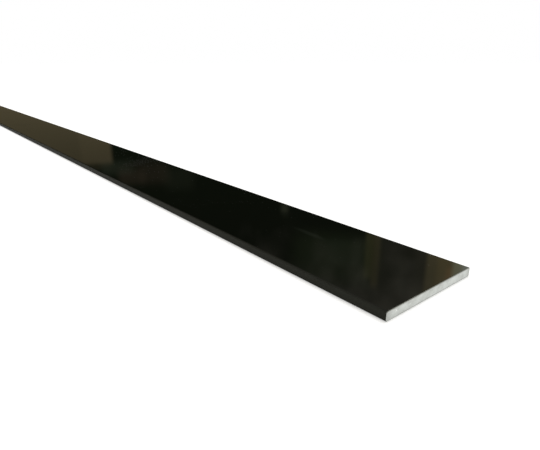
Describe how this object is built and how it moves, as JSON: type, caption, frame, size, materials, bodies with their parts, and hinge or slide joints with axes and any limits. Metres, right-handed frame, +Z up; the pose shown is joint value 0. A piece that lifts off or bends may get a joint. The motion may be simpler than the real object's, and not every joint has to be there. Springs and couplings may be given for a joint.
{
  "type": "metal flat bar",
  "caption": "Extruded aluminium flat bar with a black anodised skin, rounded long edges and square sawn bare ends.",
  "frame": {"origin": "middle of the bottom broad face, halfway along the bar", "axes": "+X along the bar's length, +Y across its width, +Z up through its thickness"},
  "size_m": [1, 0.04, 0.003],
  "materials": {
    "black_anodised": "gloss black anodised skin on the drawn faces, bare sawn aluminium on the two ends"
  },
  "bodies": {
    "root": {"flat_bar": "black_anodised"}
  },
  "joints": []
}
